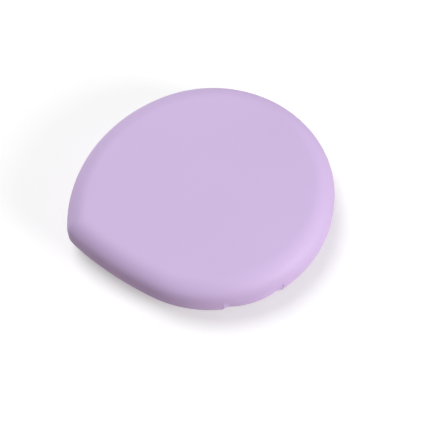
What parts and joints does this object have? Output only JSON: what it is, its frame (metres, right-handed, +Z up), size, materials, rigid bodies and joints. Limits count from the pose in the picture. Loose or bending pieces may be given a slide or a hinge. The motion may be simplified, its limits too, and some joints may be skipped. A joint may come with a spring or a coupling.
{
  "type": "wet palette",
  "caption": "Drop-shaped hinged pocket wet palette with a push-button catch, a rounded lid with a mixing tray, and a sponge, paper and clamp ring inside.",
  "frame": {"origin": "centre of the round end's arc, on the plane that the foot pad rests on", "axes": "+X towards the round end, -Y towards the push button, +Y towards the hinge, +Z up"},
  "size_m": [0.0755, 0.0686, 0.0152],
  "materials": {
    "soft_lilac": "soft-touch lilac coating, matte",
    "button_lilac": "soft-touch lilac coating, matte",
    "white_plastic": "satin moulded white",
    "tray_plastic": "glossy moulded white",
    "washer_plastic": "natural acetal",
    "pad_silicone": "matte silicone",
    "seal_silicone": "translucent silicone",
    "sponge": "open-cell cellulose sponge",
    "paper": "permeable palette paper",
    "steel": "bright stainless steel"
  },
  "bodies": {
    "base": {"base_shell": "soft_lilac", "base_frame": "white_plastic", "frame_screws": "steel", "foot_pad": "pad_silicone", "sponge_tray": "tray_plastic", "sponge": "sponge", "palette_paper": "paper", "paper_frame": "white_plastic", "rim_seal": "seal_silicone", "hinge_pin": "steel", "hinge_washers": "washer_plastic", "latch_cover": "white_plastic"},
    "lid": {"lid_shell": "soft_lilac", "lid_frame": "white_plastic", "mixing_tray": "tray_plastic", "latch_hook": "washer_plastic", "lid_bumpers": "seal_silicone"},
    "button": {"release_button": "button_lilac", "button_spring": "steel"}
  },
  "joints": [
    {"name": "lid_hinge", "type": "hinge", "parent": "base", "child": "lid", "pos_m": [0, 0.032, 0.00655], "axis": [-1, 0, 0], "range_deg": [0, 120]},
    {"name": "button_press", "type": "slide", "parent": "base", "child": "button", "axis": [0, 1, 0], "range_m": [0, 0.0007], "stiffness_N_per_m": 300}
  ]
}
